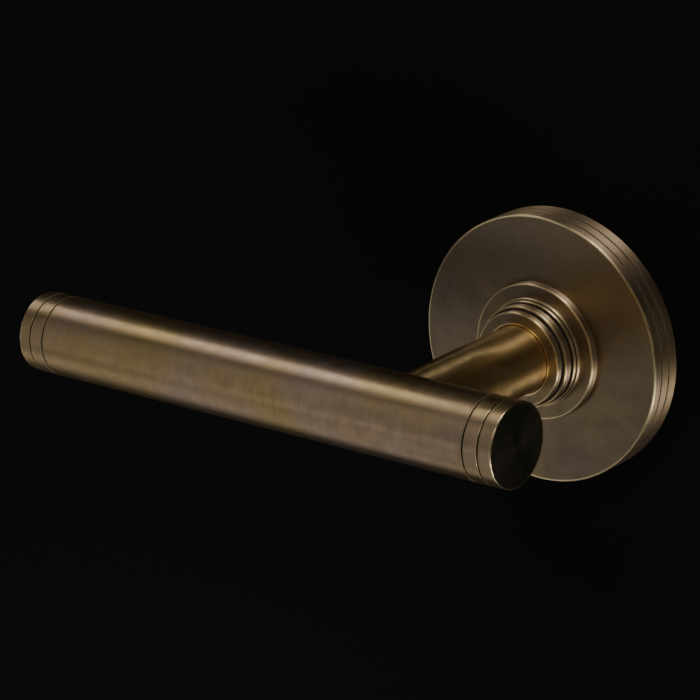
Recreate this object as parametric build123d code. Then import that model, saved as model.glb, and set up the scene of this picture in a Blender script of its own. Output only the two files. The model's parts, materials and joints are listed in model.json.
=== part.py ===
from build123d import *
import math
import os

os.makedirs("parts", exist_ok=True)

# A sprung door lever on a round rose, in millimetres.
# The door's face is the plane Y = 0 and the handle stands out from it towards -Y.
# +Z is up, the grip points to -X, and the spindle's axis is the Y axis.
# "out" is a distance from the door's face along -Y, so it is negative inside the door.

# Fits and clearances
running_gap = 0.05      # radial play of a turning journal in its bush
slip_gap = 0.05         # radial play of a spigot in its socket
press_gap = 0.02        # radial play left at a bush or spigot that is pressed home
face_gap = 0.05         # axial play between a turning face and a fixed one
screw_gap = 0.2         # radial play of a screw in a plain hole
stop_gap = 0.03         # play between the stop lug and a stop peg

# Rose cover
rose_radius = 30.0
rose_depth = 8.0
rose_wall = 2.7
rose_front_wall = 1.6
rose_bevel = 0.35
rim_groove_width = 0.38
rim_groove_depth = 0.35
rim_groove_pitch = 2.8    # from the door's face to the first groove's middle, and from groove to groove
rim_groove_count = 2

# Raised disc on the rose's front
disc_radius = 15.25
disc_rise = 1.8
disc_bevel = 0.3
disc_spigot_radius = 12.95
disc_spigot_wall = 1.35
disc_roof = 1.2

# Stepped collar round the neck, from the disc outwards
foot_ring_radius = 12.15
foot_ring_height = 0.7
foot_groove_height = 0.3
middle_ring_radius = 11.8
middle_ring_height = 0.7
wide_groove_height = 0.7
band_radius = 11.4
band_height = 1.75
nose_radius = 10.55
nose_height = 1.85
collar_bevel = 0.25
collar_groove_depth = 0.9
corner_groove_depth = 0.2
corner_groove_height = 0.3
lip_gap = 0.15
lip_height = 1.0
lip_chamfer = 0.3
collar_spigot_radius = 9.8

# Neck and its bushes
neck_radius = 7.55
journal_step = 0.55     # how far the journal is set in from the neck's skin
journal_flat_depth = 0.4
bush_wall = 1.0
flange_radius = 10.2
flange_height = 0.4
neck_rear_out = 0.25

# Grip
grip_radius = 9.0
grip_wall = 2.5
grip_axis_out = 57.25
grip_near_x = 29.7
grip_length = 129.4
grip_bevel = 0.25
end_groove_inset = 3.25   # from the grip's end to the middle of the first groove
second_groove_inset = 6.94
end_groove_width = 0.38
end_groove_depth = 0.4
cap_spigot_length = 9.0
insert_length = 26.0

# Joint between neck and grip
stud_radius = 4.0
stud_in_neck = 8.0
stud_tip_wall = 3.2       # insert left beyond the stud's end

# Spindle and its grub screw
spindle_side = 8.0
spindle_play = 0.05
spindle_behind_door = 50.0
socket_end_out = 36.0
spindle_top_gap = 0.3
neck_grub_radius = 2.5
neck_grub_out = 24.0
neck_grub_sink = 0.35   # how far the grub screw's outer end lies below the neck's skin

# Mounting plate
plate_thickness = 3.4
plate_edge_gap = 0.1
plate_rim_wall = 2.6
clip_recess_depth = 2.0
clip_recess_radius = 10.6

# Fixings
bolt_spacing = 38.0
bolt_thread_radius = 2.0
bolt_shank_radius = 1.75
bolt_head_radius = 3.8
bolt_head_height = 2.2
bolt_shank_reach = 7.0
bolt_reach = 45.0
sleeve_radius = 4.0
sleeve_flange_radius = 5.0
sleeve_flange_height = 1.6
sleeve_reach = 6.0
wood_screw_offset = 19.6
wood_screw_radius = 1.9
wood_screw_head_radius = 3.7
wood_screw_reach = 22.0
wood_screw_tip = 4.0
cross_slot_width = 0.9
cross_slot_length = 4.4
cross_slot_depth = 1.2
cover_grub_radius = 1.0
cover_grub_length = 3.6
cover_grub_sink = 0.4     # how far the screw's outer end lies below the rim
hex_socket_share = 0.55   # across-corners radius of a grub screw's hexagon, as a share of its radius

# Drive plate, end stops and return spring
drive_radius = 11.4
drive_thickness = 1.2
lug_reach = 14.5
lug_width = 5.0
turn_range = 50.0
stop_peg_radius = 1.5
stop_peg_circle = 13.4
stop_peg_above_plate = 1.9
wire_radius = 0.6
coil_radius = 8.6
coil_gap = 0.04           # least gap between neighbouring turns of the coil
coil_part_turn = 0.72     # what the coil turns beyond its whole turns
coil_lift = 0.1           # gap left at each end of the coil
fixed_leg_angle = -60.0
fixed_leg_circle = 12.6
fixed_leg_depth = 1.8
moving_leg_circle = 10.1

# Retaining ring and thrust washer
clip_thickness = 0.8
clip_groove_depth = 0.6
clip_reach = 1.4          # how far the retaining ring stands out of the journal
clip_mouth = 5.0
clip_ear_radius = 1.3
clip_ear_hole = 0.6
washer_thickness = 0.5
washer_radius = 9.8

# Sizes that follow from the ones above
rose_cavity_radius = rose_radius - rose_wall
rose_under_out = rose_depth - rose_front_wall
rose_bore_radius = disc_spigot_radius + slip_gap
disc_face_out = rose_depth + disc_rise
chamber_radius = disc_spigot_radius - disc_spigot_wall
chamber_roof_out = disc_face_out - disc_roof
disc_bore_radius = collar_spigot_radius + press_gap
foot_top_out = disc_face_out + foot_ring_height
middle_base_out = foot_top_out + foot_groove_height
middle_top_out = middle_base_out + middle_ring_height
band_base_out = middle_top_out + wide_groove_height
band_top_out = band_base_out + band_height
collar_face_out = band_top_out + nose_height
collar_bore_radius = neck_radius + lip_gap
journal_radius = neck_radius - journal_step
journal_flat = journal_radius - journal_flat_depth
clip_groove_radius = journal_radius - clip_groove_depth
clip_outer_radius = journal_radius + clip_reach
neck_grub_length = neck_radius - neck_grub_sink - spindle_side / 2
bush_top_out = collar_face_out - lip_height
bush_radius = neck_radius + running_gap + bush_wall
collar_counterbore_radius = bush_radius + press_gap
plate_radius = rose_cavity_radius - plate_edge_gap
plate_bush_radius = journal_radius + running_gap + 1.5 * bush_wall
plate_bore_radius = plate_bush_radius + press_gap
drive_rear_out = plate_thickness + flange_height + face_gap
shoulder_out = drive_rear_out + drive_thickness
coil_base_out = shoulder_out + coil_lift + wire_radius
coil_top_out = chamber_roof_out - coil_lift - wire_radius
coil_height = round(coil_top_out - coil_base_out, 6)
coil_whole_turns = math.floor(coil_height / (2 * wire_radius + coil_gap) - coil_part_turn)
coil_turns = coil_whole_turns + coil_part_turn
disc_spigot_rear_out = coil_base_out + wire_radius + slip_gap
moving_leg_angle = fixed_leg_angle + 360.0 * coil_turns
washer_rear_out = clip_recess_depth - washer_thickness
clip_front_out = washer_rear_out - face_gap
clip_rear_out = clip_front_out - clip_thickness
stud_base_out = grip_axis_out - grip_radius - stud_in_neck
grip_bore_radius = grip_radius - grip_wall
stud_top_out = grip_axis_out + grip_bore_radius - stud_tip_wall
grip_far_x = grip_near_x - grip_length
socket_half = spindle_side / 2 + spindle_play
cover_grub_out = 1.5 * rim_groove_pitch
bolt_places = [(0.0, bolt_spacing / 2), (0.0, -bolt_spacing / 2)]
wood_screw_places = [(wood_screw_offset, 0.0), (-wood_screw_offset, 0.0)]


def turned(profile):
    """Solid turned about the spindle's axis from (radius, out) corners."""
    corners = [(radius, -out) for radius, out in profile]
    return revolve(make_face(Polyline(*corners, close=True)), axis=Axis.Y)


def post(radius, start, end, x=0.0, z=0.0):
    """Round bar square to the door, from start to end out."""
    place = Plane(origin=(x, -start, z), x_dir=(1, 0, 0), z_dir=(0, -1, 0))
    return place * Cylinder(radius, end - start, align=(Align.CENTER, Align.CENTER, Align.MIN))


def ring(inner, outer, start, end, x=0.0, z=0.0):
    """Round ring square to the door."""
    return post(outer, start, end, x, z) - post(inner, start, end, x, z)


def rod(radius, first, last):
    """Round rod between two points."""
    run = Vector(*last) - Vector(*first)
    place = Plane(origin=first, z_dir=run)
    return place * Cylinder(radius, run.length, align=(Align.CENTER, Align.CENTER, Align.MIN))


def block(width, height, start, end):
    """Bar of rectangular section on the spindle's axis, from start to end out."""
    return Pos(0, -(start + end) / 2, 0) * Box(width, end - start, height)


def polar(radius, angle, out):
    """Point at an angle from +X towards +Z round the spindle's axis."""
    turn = math.radians(angle)
    return (radius * math.cos(turn), -out, radius * math.sin(turn))


def cross_slot(x, z, top):
    """Cutter for a cross recess in a screw head whose face is at top."""
    depth = Pos(x, -(top - cross_slot_depth / 2), z)
    across = Box(cross_slot_length, cross_slot_depth, cross_slot_width)
    upright = Box(cross_slot_width, cross_slot_depth, cross_slot_length)
    return depth * (across + upright)


def grub_screw(radius, length, tip, out):
    """Grub screw along Z with its tip at z = -tip and a hexagon socket in its outer end."""
    place = Plane(origin=(0, -out, -tip), x_dir=(1, 0, 0), z_dir=(0, 0, -1))
    body = Cylinder(radius, length, align=(Align.CENTER, Align.CENTER, Align.MIN))
    socket = extrude(RegularPolygon(radius * hex_socket_share, 6), amount=length / 2)
    return place * (body - Pos(0, 0, length / 2) * socket)


def make_rose_cover():
    """Turned brass cover with two grooves round its rim, open at the back."""
    cover = turned([
        (rose_bore_radius, rose_depth),
        (rose_radius - rose_bevel, rose_depth),
        (rose_radius, rose_depth - rose_bevel),
        (rose_radius, 0),
        (rose_cavity_radius, 0),
        (rose_cavity_radius, rose_under_out),
        (rose_bore_radius, rose_under_out),
    ])
    for count in range(rim_groove_count):
        foot = (count + 1) * rim_groove_pitch - rim_groove_width / 2
        cover -= ring(rose_radius - rim_groove_depth, rose_radius + 1, foot, foot + rim_groove_width)
    hole_start = (0, -cover_grub_out, -rose_cavity_radius + 1)
    hole_end = (0, -cover_grub_out, -rose_radius - 1)
    return cover - rod(cover_grub_radius + press_gap, hole_start, hole_end)


def make_rose_disc():
    """Raised disc whose spigot fills the cover's bore and roofs the spring's chamber."""
    return turned([
        (disc_bore_radius, disc_face_out),
        (disc_radius - disc_bevel, disc_face_out),
        (disc_radius, disc_face_out - disc_bevel),
        (disc_radius, rose_depth),
        (disc_spigot_radius, rose_depth),
        (disc_spigot_radius, disc_spigot_rear_out),
        (chamber_radius, disc_spigot_rear_out),
        (chamber_radius, chamber_roof_out),
        (disc_bore_radius, chamber_roof_out),
    ])


def make_stepped_collar():
    """Turned collar with a stepped outside, counterbored from behind for the neck's bush."""
    foot_groove_radius = middle_ring_radius - collar_groove_depth / 2
    wide_groove_radius = band_radius - collar_groove_depth
    corner_radius = nose_radius - corner_groove_depth
    return turned([
        (collar_bore_radius, bush_top_out),
        (collar_bore_radius, collar_face_out - lip_chamfer),
        (collar_bore_radius + lip_chamfer, collar_face_out),
        (nose_radius - collar_bevel, collar_face_out),
        (nose_radius, collar_face_out - collar_bevel),
        (nose_radius, band_top_out + corner_groove_height),
        (corner_radius, band_top_out + corner_groove_height),
        (corner_radius, band_top_out),
        (band_radius - collar_bevel, band_top_out),
        (band_radius, band_top_out - collar_bevel),
        (band_radius, band_base_out),
        (wide_groove_radius, band_base_out),
        (wide_groove_radius, middle_top_out),
        (middle_ring_radius, middle_top_out),
        (middle_ring_radius, middle_base_out),
        (foot_groove_radius, middle_base_out),
        (foot_groove_radius, foot_top_out),
        (foot_ring_radius, foot_top_out),
        (foot_ring_radius, disc_face_out),
        (collar_spigot_radius, disc_face_out),
        (collar_spigot_radius, chamber_roof_out),
        (collar_counterbore_radius, chamber_roof_out),
        (collar_counterbore_radius, bush_top_out),
    ])


def make_neck_bush():
    """Plain acetal sleeve that the neck turns in, inside the collar."""
    return ring(neck_radius + running_gap, bush_radius, chamber_roof_out, bush_top_out)


def make_mounting_plate():
    """Cast plate that is bolted to the door and carries the cover, bush, stops and spring."""
    plate = post(plate_radius, 0, plate_thickness)
    rim_inner = plate_radius - plate_rim_wall
    plate += ring(rim_inner, plate_radius, plate_thickness - 0.5, rose_under_out)
    plate -= post(plate_bore_radius, 0, plate_thickness)
    plate -= post(clip_recess_radius, 0, clip_recess_depth)
    for x, z in bolt_places:
        plate -= post(bolt_thread_radius + screw_gap, 0, plate_thickness, x, z)
        plate -= post(sleeve_flange_radius + press_gap, 0, sleeve_flange_height, x, z)
    for x, z in wood_screw_places:
        plate -= post(wood_screw_radius + screw_gap, 0, plate_thickness, x, z)
        plate -= countersunk_head(x, z)
    for angle in stop_peg_angles():
        x, _, z = polar(stop_peg_circle, angle, 0)
        plate += post(stop_peg_radius, plate_thickness - 0.5, plate_thickness + stop_peg_above_plate, x, z)
    leg_x, _, leg_z = polar(fixed_leg_circle, fixed_leg_angle, 0)
    plate -= post(wire_radius + slip_gap, plate_thickness - fixed_leg_depth, plate_thickness, leg_x, leg_z)
    tapped_start = (0, -cover_grub_out, -rim_inner + 1)
    tapped_end = (0, -cover_grub_out, -plate_radius - 1)
    return plate - rod(cover_grub_radius + press_gap, tapped_start, tapped_end)


def make_plate_bush():
    """Flanged acetal bush for the neck's journal, with its flange under the drive plate."""
    sleeve = ring(journal_radius + running_gap, plate_bush_radius, clip_recess_depth, plate_thickness)
    flange_top = plate_thickness + flange_height
    return sleeve + ring(journal_radius + running_gap, flange_radius, plate_thickness, flange_top)


def make_thrust_washer():
    """Washer between the plate's web and the retaining ring."""
    return ring(journal_radius + running_gap, washer_radius, washer_rear_out, clip_recess_depth)


def make_support_sleeves():
    """Two sleeves behind the plate that reach into the door and guide the through bolts."""
    sleeves = Part()
    bore = bolt_thread_radius + screw_gap
    for x, z in bolt_places:
        tube = post(sleeve_radius, -sleeve_reach, 0, x, z)
        tube += post(sleeve_flange_radius, 0, sleeve_flange_height, x, z)
        sleeves += tube - post(bore, -sleeve_reach, sleeve_flange_height, x, z)
    return sleeves


def make_through_bolts():
    """Two bolts from the plate's front through the door, with the thread beyond the sleeves."""
    bolts = Part()
    head_top = plate_thickness + bolt_head_height
    for x, z in bolt_places:
        bolt = post(bolt_head_radius, plate_thickness, head_top, x, z)
        bolt = fillet(bolt.edges().group_by(Axis.Y)[0], bolt_head_height / 3)
        bolt += post(bolt_shank_radius, -bolt_shank_reach, plate_thickness, x, z)
        thread = post(bolt_thread_radius, -bolt_reach, -bolt_shank_reach, x, z)
        thread = chamfer(thread.edges().group_by(Axis.Y)[-1], bolt_thread_radius / 4)
        bolts += bolt + thread - cross_slot(x, z, head_top)
    return bolts


def countersunk_head(x, z):
    """Cone of a wood screw's head, flush with the plate's front."""
    depth = wood_screw_head_radius - wood_screw_radius
    place = Plane(origin=(x, -(plate_thickness - depth), z), x_dir=(1, 0, 0), z_dir=(0, -1, 0))
    cone_align = (Align.CENTER, Align.CENTER, Align.MIN)
    return place * Cone(wood_screw_radius, wood_screw_head_radius, depth, align=cone_align)


def make_wood_screws():
    """Two countersunk wood screws that stop the plate from turning on the door."""
    screws = Part()
    head_base = plate_thickness - (wood_screw_head_radius - wood_screw_radius)
    for x, z in wood_screw_places:
        screw = countersunk_head(x, z)
        screw += post(wood_screw_radius, wood_screw_tip - wood_screw_reach, head_base, x, z)
        tip_place = Plane(origin=(x, wood_screw_reach - wood_screw_tip, z), x_dir=(1, 0, 0), z_dir=(0, 1, 0))
        tip_align = (Align.CENTER, Align.CENTER, Align.MIN)
        screw += tip_place * Cone(wood_screw_radius, wood_screw_radius / 8, wood_screw_tip, align=tip_align)
        screws += screw - cross_slot(x, z, plate_thickness)
    return screws


def stop_peg_angles():
    """Angles of the two stop pegs, one at each end of the lug's travel about +Z."""
    offset = lug_width / 2 + stop_peg_radius + stop_gap
    reach = turn_range / 2 + math.degrees(math.asin(offset / stop_peg_circle))
    return [90.0 - reach, 90.0 + reach]


def make_drive_plate():
    """Steel plate keyed to the neck, with the stop lug and the hole for the spring's leg."""
    plate = post(drive_radius, drive_rear_out, shoulder_out)
    lug = Pos(lug_reach / 2, -(drive_rear_out + shoulder_out) / 2, 0)
    plate += Rot(0, -(90.0 - turn_range / 2), 0) * lug * Box(lug_reach, drive_thickness, lug_width)
    keyhole = post(journal_radius + slip_gap, drive_rear_out, shoulder_out)
    slab_height = 2 * (journal_flat + slip_gap)
    keyhole &= block(3 * journal_radius, slab_height, drive_rear_out - 1, shoulder_out + 1)
    leg_x, _, leg_z = polar(moving_leg_circle, moving_leg_angle, 0)
    plate -= post(wire_radius + slip_gap, drive_rear_out, shoulder_out, leg_x, leg_z)
    return plate - keyhole


def make_return_spring():
    """Torsion spring round the neck, from a hole in the plate to a hole in the drive plate."""
    coil_pitch = round(coil_height / coil_turns, 6)
    path = Helix(coil_pitch, coil_height, coil_radius, center=(0, -coil_base_out, 0), direction=(0, -1, 0))
    section = Plane(origin=path @ 0, z_dir=path % 0) * Circle(wire_radius)
    coil = sweep(section, path=path, is_frenet=True)
    start = path @ 0
    start_angle = math.degrees(math.atan2(start.Z, start.X))
    coil = Rot(0, start_angle - fixed_leg_angle, 0) * coil
    fixed_corner = polar(fixed_leg_circle, fixed_leg_angle, coil_base_out)
    moving_corner = polar(moving_leg_circle, moving_leg_angle, coil_top_out)
    legs = [
        polar(coil_radius, fixed_leg_angle, coil_base_out),
        fixed_corner,
        polar(fixed_leg_circle, fixed_leg_angle, plate_thickness - fixed_leg_depth + slip_gap),
        polar(coil_radius, moving_leg_angle, coil_top_out),
        moving_corner,
        polar(moving_leg_circle, moving_leg_angle, drive_rear_out + slip_gap),
    ]
    for first, corner, last in (legs[:3], legs[3:]):
        coil += Pos(*first) * Sphere(wire_radius)
        coil += rod(wire_radius, first, corner)
        coil += Pos(*corner) * Sphere(wire_radius)
        coil += rod(wire_radius, corner, last)
    return coil


def make_cover_grub_screw():
    """Small grub screw through the cover's rim into the plate, from below."""
    tip = rose_radius - cover_grub_sink - cover_grub_length
    return grub_screw(cover_grub_radius, cover_grub_length, tip, cover_grub_out)


def make_neck():
    """Round neck with a saddle for the grip, a square socket and a keyed rear journal."""
    neck = post(neck_radius, shoulder_out, grip_axis_out)
    neck += post(journal_radius, neck_rear_out, shoulder_out)
    for side in (-1, 1):
        flat_height = journal_radius
        flat_middle = side * (journal_flat + flat_height / 2)
        flat = block(2 * journal_radius, flat_height, neck_rear_out, shoulder_out)
        neck -= Pos(0, 0, flat_middle) * flat
    neck -= rod(grip_radius, (-2 * neck_radius, -grip_axis_out, 0), (2 * neck_radius, -grip_axis_out, 0))
    neck -= block(2 * socket_half, 2 * socket_half, neck_rear_out, socket_end_out)
    neck -= post(stud_radius, stud_base_out, grip_axis_out)
    neck -= ring(clip_groove_radius, journal_radius + 1, clip_rear_out, clip_front_out)
    grub_start = (0, -neck_grub_out, 0)
    grub_end = (0, -neck_grub_out, -neck_radius - 1)
    return neck - rod(neck_grub_radius + press_gap, grub_start, grub_end)


def make_retaining_ring():
    """Open spring ring with two eared ends, in the groove of the neck's journal."""
    clip = ring(clip_groove_radius, clip_outer_radius, clip_rear_out, clip_front_out)
    mouth_reach = 2 * clip_outer_radius
    mouth = Pos(0, 0, mouth_reach / 2) * block(clip_mouth, mouth_reach, clip_rear_out, clip_front_out)
    clip -= mouth
    ear_x = clip_mouth / 2 + clip_ear_radius / 2
    ear_z = math.sqrt(clip_outer_radius**2 - ear_x**2)
    for side in (-1, 1):
        ear = post(clip_ear_radius, clip_rear_out, clip_front_out, side * ear_x, ear_z)
        clip += ear - mouth
        clip -= post(clip_ear_hole, clip_rear_out, clip_front_out, side * ear_x, ear_z)
    return clip


def make_spindle():
    """Square spindle from the neck's socket through the door."""
    spindle = block(spindle_side, spindle_side, -spindle_behind_door, socket_end_out - spindle_top_gap)
    return chamfer(spindle.edges().group_by(Axis.Y)[-1], spindle_side / 10)


def make_neck_grub_screw():
    """Grub screw under the neck that clamps the spindle."""
    return grub_screw(neck_grub_radius, neck_grub_length, spindle_side / 2, neck_grub_out)


def make_grip_tube():
    """Tube of the grip, with a groove near each end and a hole for the stud."""
    head = end_groove_inset + end_groove_width / 2
    tube = rod(grip_radius, (grip_far_x + head, -grip_axis_out, 0), (grip_near_x - head, -grip_axis_out, 0))
    for end_x, inward in ((grip_near_x, -1), (grip_far_x, 1)):
        middle = end_x + inward * second_groove_inset
        low = (middle - end_groove_width / 2, -grip_axis_out, 0)
        high = (middle + end_groove_width / 2, -grip_axis_out, 0)
        tube -= rod(grip_radius + 1, low, high) - rod(grip_radius - end_groove_depth, low, high)
    tube -= rod(grip_bore_radius, (grip_far_x, -grip_axis_out, 0), (grip_near_x, -grip_axis_out, 0))
    return tube - post(stud_radius, grip_axis_out - grip_radius - 1, grip_axis_out)


def make_end_cap(end_x, inward):
    """Plug for one end of the grip, stepped in behind its head to leave the first groove."""
    head = end_groove_inset - end_groove_width / 2
    seat = end_groove_inset + end_groove_width / 2
    spigot_radius = grip_bore_radius - slip_gap
    cap = grip_rod(grip_radius, end_x, inward, 0, head)
    cap = chamfer(cap.edges().group_by(Axis.X)[-1 if inward < 0 else 0], grip_bevel)
    cap += grip_rod(grip_radius - end_groove_depth, end_x, inward, head, seat)
    return cap + grip_rod(spigot_radius, end_x, inward, seat, seat + cap_spigot_length)


def grip_rod(radius, end_x, inward, start, end):
    """Round bar on the grip's axis between two distances in from one end."""
    first = (end_x + inward * start, -grip_axis_out, 0)
    last = (end_x + inward * end, -grip_axis_out, 0)
    return rod(radius, first, last)


def make_grip_insert():
    """Tapped brass plug inside the grip, behind which the stud is screwed."""
    half = insert_length / 2
    insert = rod(grip_bore_radius, (-half, -grip_axis_out, 0), (half, -grip_axis_out, 0))
    return insert - post(stud_radius, grip_axis_out - grip_radius, stud_top_out)


def make_joining_stud():
    """Threaded stud that pulls the grip on to the neck's saddle."""
    return post(stud_radius - press_gap, stud_base_out, stud_top_out)


nodes = {
    "rose_cover": make_rose_cover(),
    "rose_disc": make_rose_disc(),
    "stepped_collar": make_stepped_collar(),
    "neck_bush": make_neck_bush(),
    "mounting_plate": make_mounting_plate(),
    "plate_bush": make_plate_bush(),
    "thrust_washer": make_thrust_washer(),
    "support_sleeves": make_support_sleeves(),
    "through_bolts": make_through_bolts(),
    "wood_screws": make_wood_screws(),
    "cover_grub_screw": make_cover_grub_screw(),
    "return_spring": make_return_spring(),
    "drive_plate": make_drive_plate(),
    "neck": make_neck(),
    "retaining_ring": make_retaining_ring(),
    "spindle": make_spindle(),
    "neck_grub_screw": make_neck_grub_screw(),
    "grip_tube": make_grip_tube(),
    "grip_cap_near": make_end_cap(grip_near_x, -1),
    "grip_cap_far": make_end_cap(grip_far_x, 1),
    "grip_insert": make_grip_insert(),
    "joining_stud": make_joining_stud(),
}

for name, shape in nodes.items():
    export_step(shape, f"parts/{name}.step")
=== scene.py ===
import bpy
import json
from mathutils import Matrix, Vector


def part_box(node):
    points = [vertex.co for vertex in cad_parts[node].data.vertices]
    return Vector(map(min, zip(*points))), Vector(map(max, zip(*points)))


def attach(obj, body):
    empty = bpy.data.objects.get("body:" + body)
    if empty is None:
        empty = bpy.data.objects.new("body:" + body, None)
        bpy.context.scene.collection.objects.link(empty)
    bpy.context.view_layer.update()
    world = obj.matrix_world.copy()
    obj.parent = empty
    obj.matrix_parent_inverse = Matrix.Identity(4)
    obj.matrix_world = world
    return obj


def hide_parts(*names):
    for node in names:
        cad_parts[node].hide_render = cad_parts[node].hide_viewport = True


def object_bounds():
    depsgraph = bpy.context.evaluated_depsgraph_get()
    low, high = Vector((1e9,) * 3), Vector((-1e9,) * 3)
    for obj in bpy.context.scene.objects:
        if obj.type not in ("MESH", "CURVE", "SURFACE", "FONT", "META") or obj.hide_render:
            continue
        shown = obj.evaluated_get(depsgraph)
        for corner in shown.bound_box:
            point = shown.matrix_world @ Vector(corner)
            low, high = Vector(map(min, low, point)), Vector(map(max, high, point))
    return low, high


bl_info = {
    "name": "Lever on a Stepped Rose",
    "version": (1, 0, 0),
    "blender": (4, 5, 0),
    "location": "3D View > Sidebar > Lever",
    "description": "Turned brass door lever with its rose, fixings, floor and light",
    "category": "Object",
}

import json
import math

import bpy
import numpy as np
from mathutils import Matrix, Vector

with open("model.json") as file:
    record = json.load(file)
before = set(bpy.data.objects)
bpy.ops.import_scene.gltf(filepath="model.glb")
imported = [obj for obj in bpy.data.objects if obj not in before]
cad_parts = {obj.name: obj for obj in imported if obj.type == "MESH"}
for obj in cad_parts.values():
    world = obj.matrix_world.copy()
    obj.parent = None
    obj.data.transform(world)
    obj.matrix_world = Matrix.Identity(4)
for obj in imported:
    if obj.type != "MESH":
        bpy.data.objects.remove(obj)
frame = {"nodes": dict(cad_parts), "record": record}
cad_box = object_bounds()

MM = 0.001
COLUMNS = 256              # columns round every turned piece
ARC_STEPS = 6              # facets in each rounded corner
LONGEST_STEP = 1.5 * MM    # longest step along a straight run of a profile
END_STEPS = np.array([0.05, 0.12, 0.25, 0.5]) * MM   # finer steps at the ends of a run
UV_LENGTH = 0.1            # metres along a profile that make one unit of V

SPINDLE_FRAME = "spindle"
GRIP_FRAME = "grip"

# fits and small sizes that no box of the frame gives
CLOSE_GAP = 0.02 * MM
FIT_GAP = 0.05 * MM
SPIGOT_INSET = 2.3 * MM            # the disc's spigot below its rim
SPIGOT_WALL = 1.35 * MM
SHANK_RADIUS = 9.8 * MM            # part of the collar that sits in the disc
COLLAR_GAP = 0.15 * MM             # between the collar's bore and the neck
COLLAR_BORE_ROUND = 0.3 * MM
COLLAR_EDGE_ROUND = 0.22 * MM
COLLAR_RING_ROUND = 0.15 * MM
RIM_HOLE_DEPTH, RIM_HOLE_GAP = 2.2 * MM, 0.03 * MM
RIM_HOLE_STEP, RIM_HOLE_STEPS = 0.1 * MM, 14       # columns to each side of the rim screw's hole
NECK_HOLE_STEP, NECK_HOLE_STEPS = 0.15 * MM, 22    # rows and columns to each side of the grub screw's hole
NECK_STEPS = np.concatenate([[0.06, 0.14, 0.26, 0.45, 0.8, 1.4], np.arange(2.5, 18.5, 1.0)]) * MM
NECK_CHAMFER = 0.1 * MM
JOURNAL_RADIUS, JOURNAL_FLAT = 7.0 * MM, 6.6 * MM
CLIP_GROOVE_RADIUS = 6.4 * MM
SOCKET_END_GAP = 0.3 * MM
LEAST_ROUNDING = MM / 30           # a sharp corner is worn as if it were rounded this much
EDGE_SHARE = 0.8                   # rounding of the disc's and caps' edges against the cover's


# ---------------- sizes from the frame

def span(node, axis):
    """Size of a CAD node along one axis."""
    low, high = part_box(node)
    return high[axis] - low[axis]


def out_of_door(node):
    """Distance from the door's face to the front of a CAD node."""
    return -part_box(node)[0].y


def rear_of(node):
    """Distance from the door's face to the back of a CAD node."""
    return -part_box(node)[1].y


ROSE_RADIUS = span("rose_cover", 0) / 2
ROSE_FRONT = out_of_door("rose_cover")
DISC_RADIUS = span("rose_disc", 0) / 2
DISC_FRONT = out_of_door("rose_disc")
DISC_REAR = rear_of("rose_disc")
FOOT_RADIUS = span("stepped_collar", 0) / 2
COLLAR_FRONT = out_of_door("stepped_collar")
COLLAR_REAR = rear_of("stepped_collar")
NECK_RADIUS = span("neck", 0) / 2
NECK_REAR = rear_of("neck")
BUSH_RADIUS = span("neck_bush", 0) / 2
BUSH_FRONT = out_of_door("neck_bush")
DRIVE_FRONT = out_of_door("drive_plate")
GRIP_RADIUS = span("grip_tube", 2) / 2
GRIP_AXIS_OUT = out_of_door("grip_tube") - GRIP_RADIUS
GRIP_NEAR_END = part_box("grip_cap_near")[1].x
GRIP_FAR_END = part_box("grip_cap_far")[0].x
TUBE_NEAR_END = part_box("grip_tube")[1].x
TUBE_FAR_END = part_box("grip_tube")[0].x
CAP_LENGTH = span("grip_cap_near", 0)
GRIP_BORE = span("grip_insert", 2) / 2
STUD_RADIUS = span("joining_stud", 0) / 2
STUD_REAR = rear_of("joining_stud")
SPINDLE_SIDE = span("spindle", 0)
SPINDLE_TOP = out_of_door("spindle")
CLIP_REAR = rear_of("retaining_ring")
CLIP_FRONT = out_of_door("retaining_ring")
NECK_GRUB_OUT = (out_of_door("neck_grub_screw") + rear_of("neck_grub_screw")) / 2
NECK_GRUB_RADIUS = span("neck_grub_screw", 0) / 2
COVER_GRUB_OUT = (out_of_door("cover_grub_screw") + rear_of("cover_grub_screw")) / 2
COVER_GRUB_RADIUS = span("cover_grub_screw", 0) / 2


# ---------------- what a user can change

def length_property(name, description, default):
    """Length in metres."""
    return bpy.props.FloatProperty(
        name=name, description=description, default=default, precision=5, unit="LENGTH")


def angle_property(name, description, degrees):
    """Angle whose default is given in degrees."""
    return bpy.props.FloatProperty(
        name=name, description=description, default=math.radians(degrees), subtype="ANGLE")


def colour_property(name, description, default):
    """Colour with three parts from 0 to 1."""
    return bpy.props.FloatVectorProperty(
        name=name, description=description, default=default, subtype="COLOR", size=3, min=0, max=1)


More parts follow.
